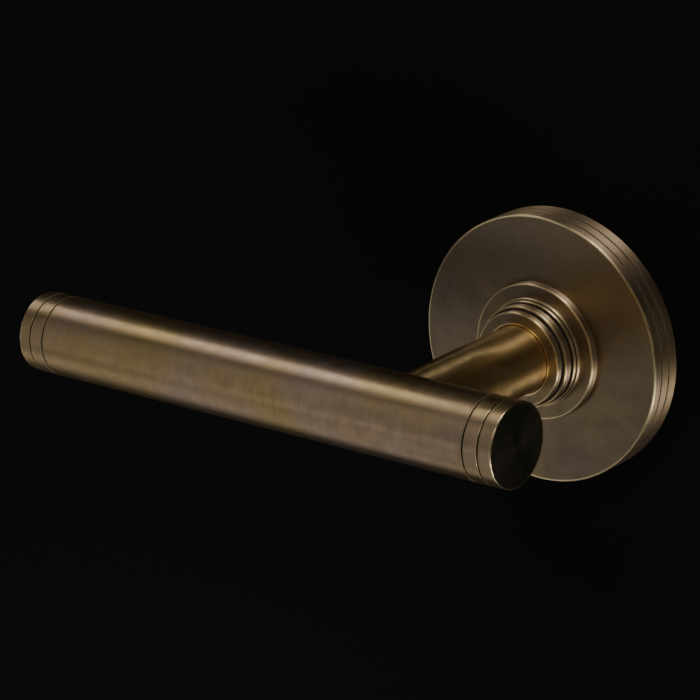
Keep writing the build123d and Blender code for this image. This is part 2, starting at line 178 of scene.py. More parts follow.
class LeverSizes(bpy.types.PropertyGroup):
    """Small sizes of the turned pieces that the frame's boxes don't give."""

    rim_groove_width: length_property(
        "Rim Groove Width", "Width of each groove round the rose's rim", 0.38 * MM)
    rim_groove_pitch: length_property(
        "Rim Groove Pitch", "Distance from the door to the first groove and between grooves", 2.8 * MM)
    rim_groove_depth: length_property(
        "Rim Groove Depth", "Depth of each groove round the rose's rim", 0.35 * MM)
    rose_wall: length_property(
        "Rose Wall", "Thickness of the rose cover's side wall", 2.7 * MM)
    rose_front_wall: length_property(
        "Rose Front Wall", "Thickness of the rose cover's front wall", 1.6 * MM)
    grip_groove_width: length_property(
        "Grip Groove Width", "Width of each groove near the grip's ends", 0.38 * MM)
    grip_groove_depth: length_property(
        "Grip Groove Depth", "Depth of each groove near the grip's ends", 0.4 * MM)
    second_groove: length_property(
        "Second Groove", "Distance from the grip's end to its second groove", 6.94 * MM)
    edge_round: length_property(
        "Edge Rounding", "Radius of the broken outer edges", 0.28 * MM)
    fine_edge_round: length_property(
        "Fine Edge Rounding", "Radius of the edges of grooves and small steps", 0.05 * MM)
    corner_round: length_property(
        "Corner Rounding", "Radius in the bottom of grooves and inner corners", 0.05 * MM)
    # edge wear is partly real wear and partly a painted highlight: the bright band stands in for the light
    # the broken edges catch
    wear_and_highlight_reach: length_property(
        "Wear And Highlight Reach", "How far worn brass reaches back from an edge", 0.13 * MM)
    grime_reach: length_property(
        "Grime Reach", "How far dark patina reaches out of a corner", 0.36 * MM)


class BrassFinish(bpy.types.PropertyGroup):
    """Colours of the aged brass; the rim, neck and grip-end colours are lit or shaded copies that paint
    highlights and shade, and the worn colour is partly a painted edge highlight.
    """

    rose_colour: colour_property(
        "Rose Patina", "Brown patina of the rose, disc and collar", (0.222, 0.176, 0.129))
    # painted highlight: a lit copy of the rose's brass, painted brighter than the faces to stand in for the
    # glints the rims and bands catch
    lit_side_colour: colour_property(
        "Lit Rim Brass", "Brighter patina of the turned sides of the rose and collar", (0.503, 0.360, 0.249))
    # painted shade: a darker copy of the grip's brass for the flat end faces, standing in for the dark room
    # they reflect
    shaded_end_colour: colour_property(
        "Shaded Grip End", "Dark olive patina of the grip's end faces", (0.125, 0.115, 0.069))
    # painted reflection: the neck's brass is painted much brighter than the rose and grip to stand in for the
    # reflections and highlight it catches
    lit_neck_colour: colour_property(
        "Lit Neck Brass", "Golden brass of the neck", (0.95, 0.66, 0.31))
    grip_colour: colour_property(
        "Grip Patina", "Main colour of the grip", (0.480, 0.345, 0.255))
    olive_colour: colour_property(
        "Olive Patina", "Golden olive clouds in the patina", (0.50, 0.35, 0.12))
    # bright brass along the edges: partly real wear, partly a painted highlight of the light the edges catch
    worn_and_highlight_colour: colour_property(
        "Worn Brass And Highlight", "Bright brass where an edge is rubbed", (1.0, 0.78, 0.43))
    grime_colour: colour_property(
        "Grime", "Dark patina left in grooves and corners", (0.018, 0.013, 0.009))


class StudioSettings(bpy.types.PropertyGroup):
    """Camera, floor, backdrop and lights."""

    azimuth: angle_property(
        "Azimuth", "Camera's turn round the door's upright axis", 39.58)
    elevation: angle_property(
        "Elevation", "Camera's angle above the horizon", 19.11)
    roll: angle_property(
        "Roll", "Camera's turn about its own line of sight", -2.17)
    distance: length_property(
        "Distance", "Distance from the camera to the spindle's foot", 0.6122)
    aim_left: length_property(
        "Aim Left", "How far the camera is moved to its left of the spindle's foot", 0.0457)
    aim_down: length_property(
        "Aim Down", "How far the camera is moved below the spindle's foot", 0.0023)
    lens: bpy.props.FloatProperty(
        name="Lens", description="Focal length on a 36 mm wide sensor",
        default=144.45, subtype="DISTANCE_CAMERA")
    floor_drop: length_property(
        "Floor Drop", "Height of the spindle above the floor", 1.0)
    floor_colour: colour_property(
        "Floor", "Colour of the floor", (0.62, 0.61, 0.59))
    door_colour: colour_property(
        "Door", "Colour of the backdrop that stands for the door", (0.007, 0.007, 0.007))
    world_colour: colour_property(
        "Room", "Colour of the light from all round", (0.04, 0.04, 0.04))
    backdrop_colour: colour_property(
        "Backdrop", "Colour of the room beyond the floor, where the camera sees it", (0.42, 0.42, 0.41))


def sizes():
    """The small sizes that are set in the scene."""
    return bpy.context.scene.lever_sizes


def finish():
    """The brass colours that are set in the scene."""
    return bpy.context.scene.lever_finish


def studio():
    """The camera, floor and light settings of the scene."""
    return bpy.context.scene.lever_studio


# ---------------- turned surfaces

def run_steps(length, longest):
    """Places strictly inside a straight run: finer near both ends, then even steps no longer than longest."""
    near = END_STEPS[END_STEPS < 0.45 * length]
    reach = near[-1] if len(near) else 0.0
    inner = length - 2 * reach
    count = max(1, math.ceil(inner / longest))
    middle = reach + inner * np.arange(0 if len(near) else 1, count + (1 if len(near) else 0)) / count
    middle = middle[1:-1] if len(near) else middle
    return np.concatenate([near, middle, length - near[::-1]])


def rounded_profile(corners, closed=False):
    """Profile through (radius, along, rounding[, longest step]) corners.

    Each inner corner is replaced by an arc that is tangent to both runs: its tangent points lie
    rounding * tan(turn / 2) from the corner, and its points are the start point turned about the
    arc's centre. Wear, which paints both worn brass and the highlight along an edge, is
    exp(-(d / reach)^2), with d the distance along the profile to the nearest outer corner, and grime
    is the same for inner corners. The reach of wear grows with the square root of the corner's
    rounding. An outer corner turns as the whole profile does round its area.
    """
    size = sizes()
    points = np.array([corner[:2] for corner in corners], float)
    rounding = np.array([corner[2] for corner in corners], float)
    count = len(points)
    ahead = np.roll(points, -1, axis=0) - points
    length = np.linalg.norm(ahead, axis=1)
    unit = ahead / length[:, None]
    behind = np.roll(unit, 1, axis=0)
    across = behind[:, 0] * unit[:, 1] - behind[:, 1] * unit[:, 0]
    turn = np.arctan2(across, (behind * unit).sum(axis=1))
    area = (points[:, 0] * np.roll(points[:, 1], -1) - points[:, 1] * np.roll(points[:, 0], -1)).sum()
    outer = turn * np.sign(area) > 0
    tangent = rounding * np.tan(np.abs(turn) / 2)
    inner_corner = np.ones(count, bool)
    if not closed:
        inner_corner[[0, -1]] = False
        tangent[[0, -1]] = 0.0

    pieces, marks = [], []
    total = 0.0
    share = np.linspace(0, 1, ARC_STEPS + 1)
    for index in range(count):
        point = points[index]
        if inner_corner[index] and rounding[index] > 0:
            start = point - behind[index] * tangent[index]
            normal = np.array([-behind[index][1], behind[index][0]]) * np.sign(turn[index])
            centre = start + normal * rounding[index]
            angle = share * turn[index]
            arm = start - centre
            arc = centre + np.stack([arm[0] * np.cos(angle) - arm[1] * np.sin(angle),
                                     arm[0] * np.sin(angle) + arm[1] * np.cos(angle)], axis=1)
        else:
            arc = point[None, :]
        pieces.append(arc)
        if index == count - 1 and not closed:
            marks.append((total, outer[index], inner_corner[index]))
            break
        following = (index + 1) % count
        straight = length[index] - tangent[index] - tangent[following]
        longest = corners[index][3] if len(corners[index]) > 3 else LONGEST_STEP
        steps = run_steps(straight, longest)
        begin = point + unit[index] * tangent[index]
        pieces.append(begin + steps[:, None] * unit[index])
        marks.append((total, outer[index], inner_corner[index]))
        total += rounding[index] * abs(turn[index]) * inner_corner[index] + straight

    line = np.concatenate(pieces)
    travel = np.concatenate([[0.0], np.cumsum(np.linalg.norm(np.diff(line, axis=0), axis=1))])
    arc_length = rounding * np.abs(turn) * inner_corner
    masks = {}
    # the wear mask paints worn brass and the edges' highlight together; the grime mask is dark patina in
    # corners
    for name, wanted, farthest in (("wear", True, size.wear_and_highlight_reach), ("grime", False, size.grime_reach)):
        mask = np.zeros(len(line))
        for (place, is_outer, is_inner), extent, curve in zip(marks, arc_length, rounding):
            reach = farthest
            if wanted:
                reach = farthest * math.sqrt(max(curve, LEAST_ROUNDING) / size.edge_round)
            if is_inner and is_outer == wanted:
                gap = np.abs(travel - place - extent / 2) - extent / 2
                mask = np.maximum(mask, np.exp(-(np.clip(gap, 0, None) / reach) ** 2))
        masks[name] = mask
    return {"radius": line[:, 0], "along": line[:, 1], "travel": travel, "closed": closed, **masks}


def columns(extra=None):
    """Angles of the columns: even, with extra columns where a small hole needs them."""
    even = np.arange(COLUMNS) * 2 * np.pi / COLUMNS
    if extra is None:
        return even
    return np.unique(np.round(np.concatenate([even, np.mod(extra, 2 * np.pi)]), 7))


def swept(radius, along, angle, frame_name):
    """Points of a turned surface.

    About the spindle a point is (r cos a, -along, r sin a); about the grip's axis it is
    (along, r cos a - axis distance, r sin a). radius and along are rows by columns.
    """
    cosine, sine = np.cos(angle), np.sin(angle)
    if frame_name == SPINDLE_FRAME:
        return np.stack([radius * cosine, -along, radius * sine], axis=-1)
    return np.stack([along, radius * cosine - GRIP_AXIS_OUT, radius * sine], axis=-1)


def grid_object(name, points, angle, travel, wear, grime, closed, side_rows=None):
    """Mesh object from a grid of points that closes round its columns.

    A row whose points all meet becomes one vertex, and its quads become triangles. Faces are turned
    over when the volume under them, a sixth of the sum of a . (b x c), is negative. U is the angle in
    whole turns and V the distance along the profile. Rows marked in side_rows take the second material.
    """
    rows, cols = points.shape[:2]
    index = np.arange(rows * cols).reshape(rows, cols)
    pole = np.ptp(points, axis=1).max(axis=1) < 1e-9
    index[pole] = index[pole][:, :1]
    last = rows if closed else rows - 1
    upper = (np.arange(last) + 1) % rows
    right = (np.arange(cols) + 1) % cols
    quads = np.stack([index[:last], index[:last][:, right], index[upper][:, right], index[upper]], axis=-1)
    turn = np.append(angle, angle[0] + 2 * np.pi) / (2 * np.pi)
    climb = np.append(travel, travel[-1] + np.linalg.norm(points[-1, 0] - points[0, 0])) / UV_LENGTH
    corner_u = np.stack([turn[:-1], turn[1:], turn[1:], turn[:-1]], axis=-1)[None]
    corner_v = np.stack([climb[:last], climb[:last], climb[1:last + 1], climb[1:last + 1]], axis=-1)[:, None]
    corner_uv = np.stack(np.broadcast_arrays(corner_u, corner_v), axis=-1)
    quads = quads.reshape(-1, 4)
    corner_uv = corner_uv.reshape(-1, 4, 2)
    flat = points.reshape(-1, 3)
    a, b, c, d = (flat[quads[:, k]] for k in range(4))
    volume = (np.cross(b, c) * a).sum() + (np.cross(c, d) * a).sum()
    if volume < 0:
        quads = quads[:, ::-1]
        corner_uv = corner_uv[:, ::-1]
    keep = quads != np.roll(quads, -1, axis=1)
    used, packed = np.unique(quads, return_inverse=True)
    loop_vertices = packed.reshape(-1, 4)[keep]
    loop_uv = corner_uv[keep]
    counts = keep.sum(axis=1)

    mesh = bpy.data.meshes.new(name)
    mesh.vertices.add(len(used))
    mesh.vertices.foreach_set("co", flat[used].astype(np.float32).ravel())
    mesh.loops.add(len(loop_vertices))
    mesh.loops.foreach_set("vertex_index", loop_vertices.astype(np.int32))
    mesh.polygons.add(len(counts))
    starts = np.concatenate([[0], np.cumsum(counts)[:-1]])
    mesh.polygons.foreach_set("loop_start", starts.astype(np.int32))
    mesh.polygons.foreach_set("use_smooth", np.ones(len(counts), bool))
    if side_rows is not None:
        mesh.polygons.foreach_set("material_index", np.repeat(side_rows[:last], cols).astype(np.int32))
    uv_layer = mesh.uv_layers.new(name="turning")
    uv_layer.uv.foreach_set("vector", loop_uv.astype(np.float32).ravel())
    for label, mask in (("edge_wear_and_highlight", wear), ("grime", grime)):
        layer = mesh.attributes.new(label, "FLOAT", "POINT")
        spread = np.broadcast_to(mask if mask.ndim == 2 else mask[:, None], (rows, cols)).ravel()
        layer.data.foreach_set("value", spread[used].astype(np.float32))
    mesh.update(calc_edges=True)
    mesh.validate()
    piece = bpy.data.objects.new(name, mesh)
    bpy.context.collection.objects.link(piece)
    return piece


def turned_object(name, profile, frame_name, angle=None, shape_radius=None):
    """Turned piece from a profile; shape_radius may bend the radius of a row by angle."""
    angle = columns() if angle is None else angle
    rows = len(profile["radius"])
    radius = np.broadcast_to(profile["radius"][:, None], (rows, len(angle)))
    along = np.broadcast_to(profile["along"][:, None], (rows, len(angle)))
    if shape_radius is not None:
        radius = shape_radius(radius, along, angle)
    points = swept(radius, along, angle, frame_name)
    climb = np.abs(np.roll(profile["along"], -1) - profile["along"])
    spread = np.abs(np.roll(profile["radius"], -1) - profile["radius"])
    return grid_object(name, points, angle, profile["travel"], profile["wear"], profile["grime"],
                       profile["closed"], side_rows=climb > spread)


def drilled(radius, along, angle, hole_out, hole_radius, floor):
    """Radius with a round hole sunk from below.

    Where the distance from a point to the hole's axis, hypot(x, along - hole_out), is less than the hole's
    radius, the surface drops to the height floor below the axis.
    """
    x = radius * np.cos(angle)
    away = np.hypot(x, along - hole_out)
    inside = (away < hole_radius) & (np.sin(angle) < 0) & (radius > floor)
    sunk = np.hypot(x, floor)
    return np.where(inside, sunk, radius)


# ---------------- shader groups

def new_group(name, inputs, outputs):
    """Empty shader group with float inputs (name, default, low, high) and outputs (name, type)."""
    group = bpy.data.node_groups.new(name, "ShaderNodeTree")
    for label, value, low, high in inputs:
        socket = group.interface.new_socket(label, in_out="INPUT", socket_type="NodeSocketFloat")
        socket.default_value = value
        socket.min_value = low
        socket.max_value = high
    for label, kind in outputs:
        group.interface.new_socket(label, in_out="OUTPUT", socket_type=kind)
    return group


def put(tree, kind, place, links=None, **settings):
    """Node in a tree; links names its input sockets and gives each a socket or a value."""
    node = tree.nodes.new(kind)
    node.location = (place[0] * 200, place[1] * 200)
    for key, value in settings.items():
        setattr(node, key, value)
    for key, value in (links or {}).items():
        if isinstance(value, bpy.types.NodeSocket):
            tree.links.new(value, node.inputs[key])
        else:
            node.inputs[key].default_value = value
    return node


def math_node(tree, place, operation, first, second=0.0, clamp=False):
    """Output of a Math node."""
    node = put(tree, "ShaderNodeMath", place, {0: first, 1: second}, operation=operation, use_clamp=clamp)
    return node.outputs[0]


def times(tree, place, first, second, clamp=False):
    """Product of two values."""
    return math_node(tree, place, "MULTIPLY", first, second, clamp)


def less(tree, place, first, second):
    """First value less the second."""
    return math_node(tree, place, "SUBTRACT", first, second)


def noise_node(tree, place, vector, scale, detail, roughness, distortion=0.0):
    """Output of a Noise Texture node."""
    node = put(tree, "ShaderNodeTexNoise", place,
               {"Vector": vector, "Scale": scale, "Detail": detail, "Roughness": roughness,
                "Distortion": distortion})
    return node.outputs[0]


def mix_colour(tree, place, share, first, second):
    """Output of a colour Mix node."""
    node = put(tree, "ShaderNodeMix", place, data_type="RGBA")
    for socket, value in ((node.inputs[0], share), (node.inputs[6], first), (node.inputs[7], second)):
        if isinstance(value, bpy.types.NodeSocket):
            tree.links.new(value, socket)
        else:
            socket.default_value = value
    return node.outputs[2]


def stretch(tree, place, value, low, high):
    """Value moved so that low becomes 0 and high becomes 1, clamped and eased."""
    node = put(tree, "ShaderNodeMapRange", place, {"Value": value, "From Min": low, "From Max": high},
               interpolation_type="SMOOTHSTEP")
    return node.outputs["Result"]


def turned_lines_group():
    """Fine lines left by turning and brushing, which run round the piece.

    The point (w cos a, w sin a, f v), with a the angle, v the distance along the profile, w the
    waviness and f the fineness, is looked up in a noise, so the lines close on themselves.
    """
    group = new_group("Turned Lines",
                      [("Fineness", 900.0, 0.0, 5000.0), ("Waviness", 1.2, 0.0, 50.0)],
                      [("Lines", "NodeSocketFloat")])
    source = put(group, "NodeGroupInput", (-4, 0))
    uv = put(group, "ShaderNodeUVMap", (-4, 1), uv_map="turning")
    parts = put(group, "ShaderNodeSeparateXYZ", (-3, 1), {0: uv.outputs["UV"]})
    angle = times(group, (-2, 2), parts.outputs["X"], 2 * math.pi)
    cosine = math_node(group, (-1.5, 2.5), "COSINE", angle)
    sine = math_node(group, (-1.5, 1.5), "SINE", angle)
    east = times(group, (-1, 2), cosine, source.outputs[1])
    north = times(group, (-1, 1), sine, source.outputs[1])
    climb = times(group, (-1, 0), parts.outputs["Y"], source.outputs[0])
    point = put(group, "ShaderNodeCombineXYZ", (0, 1), {0: east, 1: north, 2: climb})
    lines = noise_node(group, (1, 1), point.outputs[0], 1.0, 4.0, 0.62)
    put(group, "NodeGroupOutput", (2, 1), {0: lines})
    return group


def broken_mask_group(name, result, attribute, breakup, scale, detail, roughness, inverted):
    """Share of a surface that a mask attribute covers: mask * Amount * (1 - Breakup * noise), 0 to 1.

    The noise is in object space, and an inverted one is 1 - noise.
    """
    group = new_group(name, [("Amount", 1.0, 0.0, 2.0), ("Breakup", breakup, 0.0, 1.0)],
                      [(result, "NodeSocketFloat")])
    source = put(group, "NodeGroupInput", (-4, 0))
    mask = put(group, "ShaderNodeAttribute", (-4, 1), attribute_name=attribute)
    where = put(group, "ShaderNodeTexCoord", (-4, -1))
    level = noise_node(group, (-3, -1), where.outputs["Object"], scale, detail, roughness)
    if inverted:
        level = less(group, (-2.5, -1), 1.0, level)
    gap = times(group, (-2, -1), level, source.outputs[1])
    kept = less(group, (-1, -1), 1.0, gap)
    strong = times(group, (-1, 0), mask.outputs["Fac"], source.outputs[0])
    share = times(group, (0, 0), strong, kept, clamp=True)
    put(group, "NodeGroupOutput", (1, 0), {0: share})
    return group


def edge_wear_group():
    """Worn brass along outer edges, partly real wear and partly a painted highlight of the light the edges
    catch.
    """
    return broken_mask_group("Edge Wear And Highlight", "Wear", "edge_wear_and_highlight", 0.3, 220.0, 3.0, 0.6, inverted=True)


def grime_group():
    """Dark patina in grooves and corners, thinner in places."""
    return broken_mask_group("Corner Grime", "Grime", "grime", 0.25, 150.0, 4.0, 0.65, inverted=False)


def clouds_group():
    """Two sizes of soft cloud in object space, for blotches of patina and for patchy polish."""
    group = new_group("Patina Clouds",
                      [("Size", 40.0, 0.0, 2000.0), ("Softness", 0.18, 0.01, 0.5)],
                      [("Clouds", "NodeSocketFloat"), ("Mottle", "NodeSocketFloat")])
    source = put(group, "NodeGroupInput", (-4, 0))
    where = put(group, "ShaderNodeTexCoord", (-4, 1))
    large = noise_node(group, (-3, 1), where.outputs["Object"], source.outputs[0], 2.0, 0.5, 0.4)
    low = less(group, (-2, 0), 0.5, source.outputs[1])
    high = math_node(group, (-2, -1), "ADD", 0.5, source.outputs[1])
    clouds = stretch(group, (-1, 1), large, low, high)
    scale = times(group, (-3, -1), source.outputs[0], 9.0)
    small = noise_node(group, (-2, -2), where.outputs["Object"], scale, 5.0, 0.6)
    put(group, "NodeGroupOutput", (1, 0), {0: clouds, 1: small})
    return group


def shared_group(name, build):
    """A shader group, built the first time it is asked for."""
    return bpy.data.node_groups.get(name) or build()


def place_group(tree, place, name, build, **values):
    """Group node in a material with its own input values."""
    node = put(tree, "ShaderNodeGroup", place, node_tree=shared_group(name, build))
    for label, value in values.items():
        node.inputs[label].default_value = value
    return node


def new_material(name):
    """Material with an empty tree, its output and its Principled BSDF."""
    material = bpy.data.materials.new(name)
    material.use_nodes = True
    tree = material.node_tree
    tree.nodes.clear()
    output = put(tree, "ShaderNodeOutputMaterial", (8, 0))
    shader = put(tree, "ShaderNodeBsdfPrincipled", (6.5, 0))
    tree.links.new(shader.outputs[0], output.inputs["Surface"])
    return material, tree, shader


def four(colour, gain=1.0):
    """Colour with alpha 1, scaled."""
    return (colour[0] * gain, colour[1] * gain, colour[2] * gain, 1.0)


# ---------------- materials

LINE_SHADE = 0.55          # brightness of the base colour in the turned lines
SPECK_SHARE, SPECK_SHADE = 0.16, 0.6
MOTTLE_ROUGHNESS = 0.07
WORN_POLISH = 0.12
GRIME_ROUGHNESS = 0.35
GRIME_COVER = 0.6          # how far grime hides the metal
QUARTER_TURN = 0.25        # turns the brushing to run round the piece
STAGE_SHINE = 0.08


# cloud size and share, roughness, brushing, then the lines' fineness, depth and tint, then wear (worn brass
# that is also a painted edge highlight)
BRASS = {
    "Rose Face": (28.0, 0.35, 0.38, 0.2, 620.0, 0.004 * MM, 0.22, 1.0),
    "Rose Side": (60.0, 0.6, 0.47, 0.9, 500.0, 0.008 * MM, 0.3, 1.0),
    "Neck": (70.0, 0.5, 0.31, 0.8, 300.0, 0.012 * MM, 0.5, 0.9),
    "Grip": (42.0, 0.8, 0.34, 0.4, 380.0, 0.010 * MM, 0.35, 0.9),
    "Grip End": (60.0, 0.5, 0.38, 0.2, 620.0, 0.004 * MM, 0.22, 1.0),
}


def aged_brass(kind, base, second):
    """Aged satin brass: patina clouds, turned lines, worn bright edges that also paint the edges' highlight,
    and dark corners.

    Roughness is the kind's value, more where the patina is mottled and in grime, less where it is worn.
    """
    cloud_size, cloud_share, roughness, brushing, fineness, line_depth, line_tint, wear = BRASS[kind]
    colour = finish()
    material, tree, shader = new_material("Aged Brass " + kind)
    clouds = place_group(tree, (0, 2), "Patina Clouds", clouds_group, Size=cloud_size, Softness=0.2)
    lines = place_group(tree, (0, 0), "Turned Lines", turned_lines_group, Fineness=fineness, Waviness=1.4)
    worn = place_group(tree, (0, -1), "Edge Wear And Highlight", edge_wear_group, Amount=wear, Breakup=0.15)
    grime = place_group(tree, (0, -2), "Corner Grime", grime_group, Amount=1.3, Breakup=0.2)

    cloud = times(tree, (1, 3), clouds.outputs["Clouds"], cloud_share)
    patina = mix_colour(tree, (2, 3), cloud, four(base), four(second))
    shade = stretch(tree, (1, 1), lines.outputs["Lines"], 0.3, 0.7)
    dull = times(tree, (2, 1), less(tree, (1.5, 1), 1.0, shade), line_tint)
    patina = mix_colour(tree, (3, 2), dull, patina, four(base, LINE_SHADE))
    mottle = stretch(tree, (1, 2), clouds.outputs["Mottle"], 0.35, 0.75)
    speck = times(tree, (2, 2), mottle, SPECK_SHARE)
    patina = mix_colour(tree, (3.6, 2), speck, patina, four(base, SPECK_SHADE))
    # painted highlight: edges are mixed towards bright brass, partly real wear and partly the light they
    # catch
    bright = mix_colour(tree, (4.2, 1), worn.outputs[0], patina, four(colour.worn_and_highlight_colour))
    final = mix_colour(tree, (4.8, 0), grime.outputs[0], bright, four(colour.grime_colour))
    tree.links.new(final, shader.inputs["Base Color"])

    rough = math_node(tree, (3, -1), "MULTIPLY_ADD", mottle, MOTTLE_ROUGHNESS)
    rough.node.inputs[2].default_value = roughness
    polished = times(tree, (4, -1), worn.outputs[0], WORN_POLISH)
    rough = less(tree, (4.5, -1), rough, polished)
    dirty = times(tree, (4, -2), grime.outputs[0], GRIME_ROUGHNESS)
    rough = math_node(tree, (5, -1), "ADD", rough, dirty, clamp=True)
    tree.links.new(rough, shader.inputs["Roughness"])
    cover = times(tree, (4.5, -2), grime.outputs[0], GRIME_COVER)
    metal = less(tree, (5, -2), 1.0, cover)
    tree.links.new(metal, shader.inputs["Metallic"])
    shader.inputs["Anisotropic"].default_value = brushing
    shader.inputs["Anisotropic Rotation"].default_value = QUARTER_TURN
    tangent = put(tree, "ShaderNodeTangent", (5, -4), direction_type="UV_MAP", uv_map="turning")
    tree.links.new(tangent.outputs[0], shader.inputs["Tangent"])
    bump = put(tree, "ShaderNodeBump", (5, -3), {"Height": lines.outputs["Lines"], "Strength": 1.0,
                                                 "Distance": line_depth})
    tree.links.new(bump.outputs[0], shader.inputs["Normal"])
    return material


def plain_metal(name, colour, dark, roughness, grain_size, grain_depth, metallic):
    """Plain metal or plastic seen from behind: two tones, patchy roughness and a fine bumpy skin."""
    material, tree, shader = new_material(name)
    clouds = place_group(tree, (0, 1), "Patina Clouds", clouds_group, Size=grain_size, Softness=0.25)
    share = times(tree, (1, 1), clouds.outputs["Mottle"], clouds.outputs["Clouds"])
    tone = mix_colour(tree, (2, 1), share, four(colour), four(dark))
    tree.links.new(tone, shader.inputs["Base Color"])
    rough = math_node(tree, (2, 0), "MULTIPLY_ADD", clouds.outputs["Mottle"], 0.18)
    rough.node.inputs[2].default_value = roughness
    tree.links.new(rough, shader.inputs["Roughness"])
    shader.inputs["Metallic"].default_value = metallic
    bump = put(tree, "ShaderNodeBump", (4, -1), {"Height": clouds.outputs["Mottle"], "Strength": 1.0,
                                                 "Distance": grain_depth})
    tree.links.new(bump.outputs[0], shader.inputs["Normal"])
    return material


def finish_piece(piece, materials, body, *nodes):
    """Gives a new piece its materials and its body, and hides the CAD nodes it stands for."""
    for material in materials:
        piece.data.materials.append(material)
    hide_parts(*nodes)
    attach(piece, body)
    return piece


# ---------------- rose

def rose_cover_profile():
    """Closed profile of the cover: front face, rim with two grooves, back edge and hollow inside."""
    size = sizes()
    bore = DISC_RADIUS - SPIGOT_INSET + FIT_GAP
    cavity = ROSE_RADIUS - size.rose_wall
    under = ROSE_FRONT - size.rose_front_wall
    fine, corner = size.fine_edge_round, size.corner_round
    corners = [(bore, under, corner), (bore, ROSE_FRONT, corner), (ROSE_RADIUS, ROSE_FRONT, size.edge_round)]
    for count in (2, 1):
        top = count * size.rim_groove_pitch + size.rim_groove_width / 2
        foot = top - size.rim_groove_width
        floor = ROSE_RADIUS - size.rim_groove_depth
        corners += [(ROSE_RADIUS, top, fine), (floor, top, corner), (floor, foot, corner)]
        corners += [(ROSE_RADIUS, foot, fine, RIM_HOLE_STEP if count == 2 else LONGEST_STEP)]
    corners += [(ROSE_RADIUS, 0, fine), (cavity, 0, fine), (cavity, under, corner)]
    return rounded_profile(corners, closed=True)


def make_rose_cover():
    """Cover with its rim screw's hole sunk between the two grooves."""
    reach = np.arange(-RIM_HOLE_STEPS, RIM_HOLE_STEPS + 1) * RIM_HOLE_STEP / ROSE_RADIUS
    angle = columns(extra=1.5 * np.pi + reach)
    floor = ROSE_RADIUS - RIM_HOLE_DEPTH

    def with_hole(radius, along, angles):
        """Rim radius with the screw's hole."""
        sunk = drilled(radius, along, angles, COVER_GRUB_OUT, COVER_GRUB_RADIUS + RIM_HOLE_GAP, floor)
        return np.where(radius > ROSE_RADIUS - 1e-5, sunk, radius)

    return turned_object("rose_cover_turned", rose_cover_profile(), SPINDLE_FRAME, angle, with_hole)


def make_rose_disc():
    """Raised disc with its spigot and the spring's chamber behind it."""
    size = sizes()
    spigot = DISC_RADIUS - SPIGOT_INSET
    chamber = spigot - SPIGOT_WALL
    roof = COLLAR_REAR
    bore = SHANK_RADIUS + CLOSE_GAP
    corner = size.corner_round
    corners = [
        (bore, roof, 0), (bore, DISC_FRONT, 0), (DISC_RADIUS, DISC_FRONT, size.edge_round * EDGE_SHARE),
        (DISC_RADIUS, ROSE_FRONT, 0), (spigot, ROSE_FRONT, 0), (spigot, DISC_REAR, corner),
        (chamber, DISC_REAR, corner), (chamber, roof, corner),
    ]
    return turned_object("rose_disc_turned", rounded_profile(corners, closed=True), SPINDLE_FRAME)


def make_collar():
    """Stepped collar: foot ring, thin ring, wide groove, broad band and narrower nose round the neck."""
    size = sizes()
    fine, corner = size.fine_edge_round, size.corner_round
    foot, first_gap, ring, wide_gap, band = (height * MM for height in (0.7, 0.3, 0.7, 0.7, 1.75))
    ring_inset, band_inset, nose_inset = 0.35 * MM, 0.75 * MM, 1.6 * MM
    first_depth, wide_depth = 0.45 * MM, 0.9 * MM
    nose_depth, nose_low, nose_high = 0.2 * MM, 0.25 * MM, 0.3 * MM
    foot_top = DISC_FRONT + foot
    ring_foot = foot_top + first_gap
    ring_top = ring_foot + ring
    band_foot = ring_top + wide_gap
    band_top = band_foot + band
    ring_radius, band_radius = FOOT_RADIUS - ring_inset, FOOT_RADIUS - band_inset
    nose_radius = FOOT_RADIUS - nose_inset
    bore = NECK_RADIUS + COLLAR_GAP
    corners = [
        (bore, BUSH_FRONT, 0), (bore, COLLAR_FRONT, COLLAR_BORE_ROUND),
        (nose_radius, COLLAR_FRONT, COLLAR_EDGE_ROUND),
        (nose_radius, band_top + nose_high, corner), (nose_radius - nose_depth, band_top + nose_low, corner),
        (nose_radius - nose_depth, band_top, corner), (band_radius, band_top, COLLAR_EDGE_ROUND),
        (band_radius, band_foot, fine), (band_radius - wide_depth, band_foot, corner),
        (band_radius - wide_depth, ring_top, corner), (ring_radius, ring_top, COLLAR_RING_ROUND),
        (ring_radius, ring_foot, fine), (ring_radius - first_depth, ring_foot, corner),
        (ring_radius - first_depth, foot_top, corner), (FOOT_RADIUS, foot_top, COLLAR_RING_ROUND),
        (FOOT_RADIUS, DISC_FRONT, 0), (SHANK_RADIUS, DISC_FRONT, 0), (SHANK_RADIUS, COLLAR_REAR, corner),
        (BUSH_RADIUS, COLLAR_REAR, corner), (BUSH_RADIUS, BUSH_FRONT, 0),
    ]
    return turned_object("collar_turned", rounded_profile(corners, closed=True), SPINDLE_FRAME)


class LEVER_OT_rose(bpy.types.Operator):
    """Make the rose cover, the raised disc and the stepped collar"""

    bl_idname = "lever.rose"
    bl_label = "Rose"

    def execute(self, context):
        colour = finish()
        face = aged_brass("Rose Face", colour.rose_colour, colour.olive_colour)
        # the turned sides take the lit copy of the brass, a painted highlight
        side = aged_brass("Rose Side", colour.lit_side_colour, colour.olive_colour)
        finish_piece(make_rose_cover(), (face, side), "rose", "rose_cover")
        finish_piece(make_rose_disc(), (face, side), "rose", "rose_disc")
        finish_piece(make_collar(), (face, side), "rose", "stepped_collar")
        return {"FINISHED"}


# ---------------- neck

def saddle_out(radius, angle):
    """Distance out to the grip's surface at a radius and angle: axis - sqrt(R^2 - (r sin a)^2)."""
    return GRIP_AXIS_OUT - np.sqrt(GRIP_RADIUS ** 2 - (radius * np.sin(angle)) ** 2)


